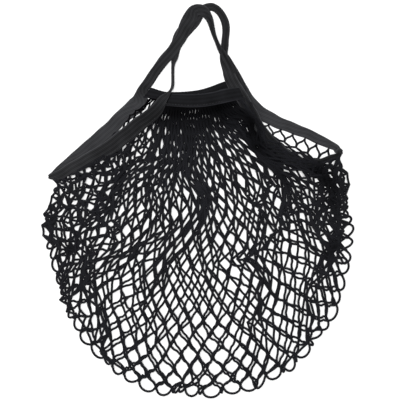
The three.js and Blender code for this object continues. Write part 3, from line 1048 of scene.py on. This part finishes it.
class TapeSettings(bpy.types.PropertyGroup):
    """The binding tape that edges the slits and makes both handles."""

    ripple: bpy.props.FloatProperty(
        name="Ripple", description="How far the tape waves off its route", default=0.0001, unit="LENGTH")
    colour: bpy.props.FloatVectorProperty(
        name="Tape colour", description="Colour of the woven tape", subtype="COLOR", size=3,
        default=(0.0175, 0.0177, 0.0192))


class BandSettings(bpy.types.PropertyGroup):
    """The two bands that gather the mouth."""

    thickness: bpy.props.FloatProperty(
        name="Band thickness", description="Thickness of a folded band", default=0.0022, unit="LENGTH")
    colour: bpy.props.FloatVectorProperty(
        name="Band colour", description="Colour of the bands", subtype="COLOR", size=3,
        default=(0.007, 0.0072, 0.0085))


class StageSettings(bpy.types.PropertyGroup):
    """Floor, light and camera."""

    view_width: bpy.props.FloatProperty(
        name="View width", description="Width of what the camera sees", default=0.46, unit="LENGTH")
    camera_height: bpy.props.FloatProperty(
        name="Camera height", description="Height of the camera over the bag", default=1.35, unit="LENGTH")
    floor_colour: bpy.props.FloatVectorProperty(
        name="Floor colour", description="Colour of the floor", subtype="COLOR", size=3,
        default=(0.9, 0.9, 0.9))


# Pieces


def through_line(points, samples):
    """Catmull-Rom line through points, at the given places counted in points."""
    padded = np.concatenate([points[:1] * 2 - points[1:2], points, points[-1:] * 2 - points[-2:-1]])
    k = np.clip(samples.astype(int), 0, len(points) - 2)
    t = (samples - k)[:, None]
    a, b, c, d = padded[k], padded[k + 1], padded[k + 2], padded[k + 3]
    bend = (2 * a - 5 * b + 4 * c - d) * t**2 + (3 * b - a - 3 * c + d) * t**3
    return 0.5 * (2 * b + (c - a) * t + bend)


class BAG_OT_net(bpy.types.Operator):
    """Settle the net's knots and cords and make its two layers"""

    bl_idname = "bag.net"
    bl_label = "Net"

    sides = 8
    rings = 5
    loop_rings = 10
    squeezed = 0.45
    thin_at_mouth = 0.3
    mouth_end = (110, 50)
    knot_lift = 0.4
    falling = (UP_LEFT, DOWN_RIGHT)
    wave = 0.7
    wave_length = (25, 70)
    back_wave = 0.8
    edge_reach = 14.0
    cover_reach = 12.0
    rim_reach = 9.0
    rim_closing = 0.6
    # Painted shade of the cords: how far crowding is measured, the crowding over which the cord is painted
    # darker, and where the painted shadow under the band begins and is full, above it and beside it.
    arch = (-0.2, 0.7)
    crowd_reach = 50
    crowded = (14.5, 5.5)
    band_above = (71, 103)
    band_beside = (50, 26)

    def execute(self, context):
        settings = context.scene.bag_net
        thick = settings.cord_thickness / MM
        net = Net()
        cords = Cords(net, settings.strand_length / MM, settings.seed)
        points, chain = cords.points, cords.chain
        places = np.column_stack([points, self.heights(net, points, settings.seed)])
        full = 1 - self.thin_at_mouth * (1 - ramp(points[:, 1], *self.mouth_end))
        full[:net.count][net.sewn & (net.cover < 0.5)] = self.squeezed
        over = np.where(net.row % 2 == 0, self.knot_lift, -self.knot_lift) * thick
        light = self.lightness(net, points)
        layers = {FRONT: [], BACK: []}
        for path in cord_paths(net.strands):
            numbers, lift = self.follow(path, chain, net.strands, over)
            line = places[numbers] + lift[:, None] * UP
            parts = [self.loop_rings if net.fold[k] else self.rings for k, _ in path]
            at = [PARTS * (k + np.arange(part) / part) for k, part in enumerate(parts)]
            at = np.concatenate(at + [[len(line) - 1.0]])
            line = through_line(line, at)
            line[:, 2] = np.maximum(line[:, 2], thick / 2)
            count = np.arange(len(numbers))
            radius = np.interp(at, count, full[numbers]) * thick / 2
            tone = np.interp(at, count, light[numbers])
            for side, start, end in self.shares(path, net.strands, parts):
                own = slice(start, end + 1)
                layers[side].append((line[own], radius[own], tone[own]))
        material = cord_material(settings.colour)
        for side, name in ((FRONT, "net_front"), (BACK, "net_back")):
            lines, radii, tones = zip(*layers[side])
            piece = closed_tubes(name, lines, radii, self.sides)
            point_values(piece, "light", np.repeat(np.concatenate(tones), self.sides))
            hand_over(piece, "net_cord", material, "net")
        return {"FINISHED"}

    def heights(self, net, points, seed):
        """Height of every point of the net: flat layers that rise to their seams and close at the rim."""
        draw = np.random.default_rng(seed + 2)
        knots = points[:net.count]
        waves = soft_drift(knots, draw, self.wave, *self.wave_length)
        flat_back = BACK_NET_Z + np.abs(waves[:, 1]) * self.back_wave
        height = np.where(net.front, FRONT_NET_Z + waves[:, 0], flat_back)
        for side in (FRONT, BACK):
            own = net.layer == side
            sewn = np.where(net.sewn & own)[0]
            near, gap = nearest(knots, knots[sewn])
            seam = sewn[near]
            beyond = np.maximum(0, gap - self.cover_reach * net.cover[seam])
            rise = (net.edge_height[seam] - height) * bell(beyond, 0, self.edge_reach)
            height = np.where(own, height + rise, height)
        middle = (FRONT_NET_Z + BACK_NET_Z) / 2
        _, to_rim = nearest(knots, knots[net.rim])
        height = height + (middle - height) * self.rim_closing * bell(to_rim, 0, self.rim_reach)
        heights = net.carried(height)
        arch = np.sin(np.pi * INNER_SHARE) * draw.uniform(*self.arch, (len(net.strands), 1))
        heights[net.count:] += arch.ravel()
        return heights

    def lightness(self, net, points):
        """How much painted light each point gets in its colour: less among crowded knots and in the pleats
        under the band, where painted shade stands in for the shade there.
        """
        knots = points[:net.count]
        gap = ((knots[:, None] - knots[None]) ** 2).sum(2)
        crowd = np.exp(-gap / self.crowd_reach).sum(1)
        painted_band_shadow = ramp(knots[:, 1], *self.band_above) * ramp(knots[:, 0], *self.band_beside)
        return net.carried(ramp(crowd, *self.crowded) * (1 - painted_band_shadow))

    def shares(self, path, strands, parts):
        """The stretches of a cord that belong to each layer, parted halfway round the rim."""
        start = 0
        end = 0
        side = BOTH
        for (number, _), part in zip(path, parts):
            layer = strands[number][4]
            if layer != BOTH and side not in (BOTH, layer):
                yield side, start, end - self.loop_rings // 2
                start = end - self.loop_rings // 2
            side = side if layer == BOTH else layer
            end += part
        yield (FRONT if side == BOTH else side), start, end

    def follow(self, path, chain, strands, over):
        """Numbers of the points along a cord, and how far it lies over or under at each of its knots."""
        numbers = []
        lift = []
        for strand, forward in path:
            ids = chain[strand] if forward else chain[strand][::-1]
            slots = strands[strand][[1, 3]] if forward else strands[strand][[3, 1]]
            ends = [over[k] if slot in self.falling else -over[k] for k, slot in zip(ids[[0, -1]], slots)]
            if not numbers:
                numbers.append(ids[0])
                lift.append(ends[0])
            numbers.extend(ids[1:])
            lift.extend([0.0] * (PARTS - 1) + [ends[1]])
        return np.array(numbers), np.array(lift)


def flat_stretch(line, height, face, tone):
    """A stretch of tape that lies flat along a line of the bag, with the tone at its two ends."""
    tones = np.linspace(*tone, len(line))
    return [(x, y, height, width, TAPE_THICK, *face, t) for (x, y, width), t in zip(line, tones)]


def handle_stretch(stations):
    """A handle's stations as rows of the tape's route."""
    return [(x, y, z, width, thick, *face, TONE_HANDLE) for x, y, z, width, thick, face in stations]


def corner(place, x_way, back=5, wider=3, lean=0.3):
    """The fold of the tape at the end of a slit, where it turns from the front to the back."""
    x, y, width = place
    beside = x - x_way * back
    high = (beside, y + 0.3, FRONT_TAPE_Z - 1, width + wider, TAPE_THICK, x_way * lean, 0, 1, TONE_CORNER)
    turn = (x, y, CORNER_Z, width, TAPE_THICK + 0.4, x_way, 0, 0.1, TONE_CORNER)
    low = (beside, y + 2.5, BACK_TAPE_Z + 0.6, width + wider, TAPE_THICK, x_way * lean, 0, -1, TONE_CORNER)
    return [high, turn, low]


def tape_route():
    """The closed round of the tape: both front edges, the front handle, and the same at the back."""
    high, turn, low = corner(CORNER_LEFT, -1)
    return np.array([
        turn,
        high,
        *flat_stretch(FRONT_LEFT[::-1], FRONT_TAPE_Z, UP, TONE_FRONT_LEFT),
        *handle_stretch(FRONT_HANDLE),
        *flat_stretch(FRONT_RIGHT, FRONT_TAPE_Z, UP, TONE_FRONT_RIGHT),
        *corner(CORNER_RIGHT, 1),
        *flat_stretch(BACK_RIGHT[::-1], BACK_TAPE_Z, DOWN, TONE_BACK),
        *handle_stretch(BACK_HANDLE),
        *flat_stretch(BACK_LEFT, BACK_TAPE_Z, DOWN, TONE_BACK),
        low,
    ], float)


class TapeStations:
    """Even stations round the tape: the axes of its section, its sizes and tone, and how far they are."""

    overlap = 4

    def __init__(self, spacing):
        route = tape_route()
        closed = np.concatenate([route[-self.overlap:], route, route[:self.overlap + 1]])
        line = hermite_line(closed)[self.overlap * LINE_PARTS:(self.overlap + len(route)) * LINE_PARTS]
        far = lengths(line[:, :3])
        self.far = np.linspace(0, far[-1], int(far[-1] / spacing), endpoint=False)
        even = looked_up(self.far, far, line)
        self.middle = even[:, :3]
        self.along = unit(np.roll(self.middle, -1, 0) - np.roll(self.middle, 1, 0))
        self.across = unit(np.cross(self.along, even[:, 5:8]))
        self.over = np.cross(self.across, self.along)
        self.width, self.thick, self.tone = even[:, 3], even[:, 4], even[:, 8]


def all_round(upper, lower):
    """Values across the tape's face, then back across its underside."""
    return np.concatenate([upper, lower[:, -2:0:-1]], 1)


class BAG_OT_tape(bpy.types.Operator):
    """Run the binding tape round both slits and through both handles"""

    bl_idname = "bag.tape"
    bl_label = "Binding tape"

    spacing = 1.8
    face_points = 13
    ripple_seed = 5
    ripple_waves = 6
    ripple_length = (60, 22)
    ripple_turn = 6.28
    width_ripple = 1.2
    lean_ripple = 0.5
    curled = (12.5, 7.5)
    roundness = 3
    hem = 0.14
    hem_place = (0.84, 0.07)
    hollow = 0.5
    hollow_reach = 0.3
    hollow_under = 0.4
    hollow_painted_shade = 1.5
    # Painted highlight along the tape's edges: how sharply it fades inwards, its share on the inner edge,
    # and its gain.
    edge_sharpness = 14
    other_edge = 0.3
    edge_highlight_gain = 4.2
    rib_pitch = 1.7

    def execute(self, context):
        settings = context.scene.bag_tape
        tape = TapeStations(self.spacing)
        far = tape.far
        ripple = self.ripples(far) * settings.ripple / MM
        middle = tape.middle + ripple[:, :1] * tape.across
        width = tape.width + ripple[:, 1] * self.width_ripple
        s = -np.cos(np.pi * np.arange(self.face_points) / (self.face_points - 1))
        curl = ramp(width, *self.curled)[:, None]
        full = np.sqrt(np.clip(1 - np.abs(s) ** self.roundness, 0, 1))
        hem = self.hem * bell(np.abs(s), *self.hem_place)
        hollow = self.hollow * bell(s, 0, self.hollow_reach) * curl
        face = np.tile(s, (len(far), 1))
        lean = ripple[:, 2:] * self.lean_ripple * s
        aside = all_round(face, face)
        height = all_round(full * (1 + hem * (1 - curl) - hollow), -full * (1 - self.hollow_under * hollow))
        half_width = (width / 2)[:, None]
        height = height * (tape.thick / 2)[:, None] + all_round(lean, lean)
        points = middle[:, None] + (aside * half_width)[:, :, None] * tape.across[:, None]
        points = points + height[:, :, None] * tape.over[:, None]
        points[:, :, 2] += np.maximum(0, FLOOR_GAP - points[:, :, 2].min(1))[:, None]
        quads = ring_faces(*aside.shape).reshape(-1, 4)
        around = lengths(np.append(aside[0], s[0])[:, None]) * half_width
        along = np.append(far, far[-1] + far[1])[:, None] + np.zeros(around.shape[1])
        uv = ring_uv(np.concatenate([around, around[:1]]), along)
        piece = mesh_piece("binding_tape", points.reshape(-1, 3), quads, uv)
        # Painted highlight: strong on the outer fold edge, weaker on the inner edge.
        painted_edge_highlight = np.abs(aside) ** self.edge_sharpness * np.where(aside < 0, 1, self.other_edge)
        point_values(piece, "edge", painted_edge_highlight)
        # Painted shade in the hollow of curled tape, taken off the stretch's painted tone.
        point_values(piece, "pale", tape.tone[:, None] - self.hollow_painted_shade * all_round(hollow, hollow))
        material = tape_material("tape", settings.colour, self.edge_highlight_gain, self.rib_pitch)
        hand_over(piece, "tape", material, "tape")
        return {"FINISHED"}

    def ripples(self, far):
        """Waves round the whole tape that close on themselves: for its place, its width and its lean."""
        draw = np.random.default_rng(self.ripple_seed)
        length = far[-1] + far[1]
        fewest, most = (int(length / wave) for wave in self.ripple_length)
        ripple = np.zeros((len(far), 3))
        for _ in range(self.ripple_waves):
            turns = draw.integers(fewest, most)
            wave = np.sin(2 * np.pi * turns * far / length + draw.uniform(0, self.ripple_turn))
            ripple = ripple + wave[:, None] * draw.normal(0, 1, 3)
        return ripple


class BAG_OT_bands(bpy.types.Operator):
    """Fold the two mouth bands"""

    bl_idname = "bag.bands"
    bl_label = "Mouth bands"

    across = 60
    up = 16
    # Gain of the painted highlight on the band's folded edges.
    edge_highlight_gain = 2.6
    rib_pitch = 1.3
    puckers = 61
    middle_points = 30
    uv_points = 200
    uv_start = 20
    # Where the painted highlights of the top and the bottom fold begin and are full, across the band in
    # millimetres.
    painted_highlight_top = (5.6, 6.8)
    painted_highlight_bottom = (-6.2, -7.0)
    pale = 0.35

    def execute(self, context):
        settings = context.scene.bag_band
        material = tape_material("band", settings.colour, self.edge_highlight_gain, self.rib_pitch)
        thick = settings.thickness
        self.band("band_front", FRONT_BAND_TOP, FRONT_BAND_BOTTOM, FRONT_TAPE_Z, 1.0, thick, material)
        self.band("band_back", BACK_BAND_TOP, BACK_BAND_BOTTOM, BACK_BAND_Z, 0.0, thick, material)
        return {"FINISHED"}

    def band(self, name, top, bottom, height, tilt, thick, material):
        """One band: a grid laid between its edges, thickened, rounded, with a fold and a sewn groove."""
        deselect_all()
        bpy.ops.mesh.primitive_grid_add(x_subdivisions=self.across, y_subdivisions=self.up, size=2)
        piece = bpy.context.object
        piece.name = name
        mesh = piece.data
        mesh.name = name
        u, v, _ = ((coordinates(mesh) + 1) / 2).T
        place = smooth_line(bottom, at=u) * (1 - v)[:, None] + smooth_line(top, at=u) * v[:, None]
        # Heights in millimetres, with places as shares of the band's width and length
        groove = -0.55 * bell(v, 0.16, 0.05)
        fold = 0.5 * bell(v, 0.93, 0.07)
        pucker = 0.22 * np.sin(u * self.puckers) * bell(v, 0.1, 0.14)
        swell = 0.35 * np.sin(np.pi * v)
        ends = tilt * (ramp(u, 0.7, 0.9) - ramp(u, 0.16, 0))
        z = height + groove + fold + pucker + swell + ends
        mesh.vertices.foreach_set("co", (np.column_stack([place, z]) * MM).ravel())
        mesh.update()
        solid = piece.modifiers.new("Thickness", "SOLIDIFY")
        solid.thickness = thick
        solid.offset = 0.0
        bpy.ops.object.modifier_apply(modifier=solid.name)
        soft = piece.modifiers.new("Roundness", "SUBSURF")
        soft.levels = 1
        soft.render_levels = 1
        bpy.ops.object.modifier_apply(modifier=soft.name)
        bpy.ops.object.shade_smooth()
        points = coordinates(mesh)
        points[:, 2] += max(0.0, FLOOR_GAP * MM - points[:, 2].min())
        mesh.vertices.foreach_set("co", points.ravel())
        self.lay_uv(piece, points[:, :2] / MM, top, bottom)
        hand_over(piece, "band", material, name)

    def lay_uv(self, piece, points, top, bottom):
        """UV in millimetres across and along the band, and the painted highlight on its folded edges."""
        mesh = piece.data
        edges = smooth_line(top, self.middle_points) + smooth_line(bottom, self.middle_points)
        line = smooth_line(edges / 2, self.uv_points)
        near, _ = nearest(points, line)
        off = points - line[near]
        left = left_of(line)[near]
        across = (off * left).sum(1)
        along = lengths(line)[near] + off[:, 0] * left[:, 1] - off[:, 1] * left[:, 0]
        uv = np.column_stack([across + self.uv_start, along])
        numbers = np.zeros(len(mesh.loops), int)
        mesh.loops.foreach_get("vertex_index", numbers)
        while mesh.uv_layers:
            mesh.uv_layers.remove(mesh.uv_layers[0])
        layer = mesh.uv_layers.new(name="Surface")
        layer.data.foreach_set("uv", uv[numbers].ravel())
        # Painted highlight on the band's top and bottom folds.
        painted_edge_highlight = ramp(across, *self.painted_highlight_top) + ramp(across, *self.painted_highlight_bottom)
        point_values(piece, "edge", painted_edge_highlight)
        point_values(piece, "pale", np.full(len(painted_edge_highlight), self.pale))


class BAG_OT_stitches(bpy.types.Operator):
    """Sew the tape and the bands to the net"""

    bl_idname = "bag.stitches"
    bl_label = "Stitches"

    pitch = 3.2
    length = 2.5
    thick = 0.5
    sides = 6
    least_width = 15.5
    level = 0.97
    inset = 2.0
    lift = 0.12
    band_stitches = 26
    band_share = 0.16
    band_rise = 0.85
    colour = (0.02, 0.02, 0.022)

    def execute(self, context):
        tape = TapeStations(self.pitch)
        flat = (tape.width > self.least_width) & (np.abs(tape.over[:, 2]) > self.level)
        facing = np.sign(tape.over[:, 2])[:, None]
        seat = tape.middle + tape.across * (tape.width / 2 - self.inset)[:, None]
        seat = seat + tape.over * facing * (tape.thick / 2 + self.lift)[:, None]
        seats = [seat[flat]]
        ways = [tape.along[flat]]
        for top, bottom, height in ((FRONT_BAND_TOP, FRONT_BAND_BOTTOM, FRONT_TAPE_Z),
                                    (BACK_BAND_TOP, BACK_BAND_BOTTOM, BACK_BAND_Z)):
            lower = smooth_line(bottom, self.band_stitches) * (1 - self.band_share)
            line = lower + smooth_line(top, self.band_stitches) * self.band_share
            seats.append(np.insert(line, 2, height + self.band_rise, 1))
            ways.append(np.insert(unit(np.gradient(line, axis=0)), 2, 0, 1))
        share = np.array([-1, -0.8, 0, 0.8, 1])[:, None] * self.length / 2
        swell = np.array([0.3, 0.8, 1, 0.8, 0.3])
        drop = np.array([-0.35, -0.1, 0.1, -0.1, -0.35])[:, None] * UP
        lines = [seat + share * way + drop for seat, way in zip(np.concatenate(seats), np.concatenate(ways))]
        radii = [swell * self.thick / 2] * len(lines)
        piece = closed_tubes("stitches", lines, radii, self.sides)
        hand_over(piece, "tape", thread_material(self.colour))
        return {"FINISHED"}


class BAG_OT_stage(bpy.types.Operator):
    """Lay the floor, set the soft light and hang the camera over the bag"""

    bl_idname = "bag.stage"
    bl_label = "Stage"

    floor_size = 6
    aim = (1.15, -0.58, 6.0)
    lamps = (("light_top", (0.0, 0.05, 2.3), 0.7, 58), ("light_side", (-0.9, 0.7, 1.3), 1.0, 10))
    world_colour = (1, 1, 1, 1)
    world_strength = 0.12

    def execute(self, context):
        settings = context.scene.bag_stage
        deselect_all()
        bpy.ops.mesh.primitive_plane_add(size=self.floor_size)
        floor = bpy.context.object
        floor.name = "floor"
        floor.data.materials.append(floor_material(settings.floor_colour))
        for name, place, size, power in self.lamps:
            deselect_all()
            bpy.ops.object.light_add(type="AREA", location=place)
            lamp = bpy.context.object
            lamp.name = name
            lamp.data.size = size
            lamp.data.energy = power
            x, y, z = place
            lamp.rotation_euler = (math.atan2(math.hypot(x, y), z), 0, math.atan2(-y, -x) - math.pi / 2)
        world = bpy.data.worlds.new("studio")
        world.use_nodes = True
        background = world.node_tree.nodes["Background"]
        background.inputs["Color"].default_value = self.world_colour
        background.inputs["Strength"].default_value = self.world_strength
        context.scene.world = world
        deselect_all()
        x, y, z = (k * MM for k in self.aim)
        bpy.ops.object.camera_add(location=(x, y, z + settings.camera_height), rotation=(0, 0, 0))
        camera = bpy.context.object
        camera.name = "camera"
        camera.data.angle = 2 * math.atan(settings.view_width / 2 / settings.camera_height)
        camera.data.dof.use_dof = False
        context.scene.camera = camera
        context.scene.view_settings.view_transform = "Standard"
        return {"FINISHED"}


class BAG_PT_panel(bpy.types.Panel):
    """The steps that make the bag"""

    bl_idname = "BAG_PT_panel"
    bl_label = "Net shopping bag"
    bl_space_type = "VIEW_3D"
    bl_region_type = "UI"
    bl_category = "Net bag"

    def draw(self, context):
        for operator, group in PANEL_ROWS:
            box = self.layout.box()
            box.operator(operator.bl_idname)
            if group:
                settings = getattr(context.scene, group)
                for name in settings.__annotations__:
                    box.prop(settings, name)


PANEL_ROWS = (
    (BAG_OT_net, "bag_net"),
    (BAG_OT_tape, "bag_tape"),
    (BAG_OT_bands, "bag_band"),
    (BAG_OT_stitches, None),
    (BAG_OT_stage, "bag_stage"),
)
GROUPS = (
    ("bag_net", NetSettings),
    ("bag_tape", TapeSettings),
    ("bag_band", BandSettings),
    ("bag_stage", StageSettings),
)


def register():
    for name, group in GROUPS:
        bpy.utils.register_class(group)
        setattr(bpy.types.Scene, name, bpy.props.PointerProperty(type=group))
    for operator, _ in PANEL_ROWS:
        bpy.utils.register_class(operator)
    bpy.utils.register_class(BAG_PT_panel)


def unregister():
    bpy.utils.unregister_class(BAG_PT_panel)
    for operator, _ in reversed(PANEL_ROWS):
        bpy.utils.unregister_class(operator)
    for name, group in reversed(GROUPS):
        delattr(bpy.types.Scene, name)
        bpy.utils.unregister_class(group)


def main():
    register()
    bpy.ops.bag.stage()
    bpy.ops.bag.net()
    bpy.ops.bag.tape()
    bpy.ops.bag.bands()
    bpy.ops.bag.stitches()


if __name__ == "__main__":
    main()
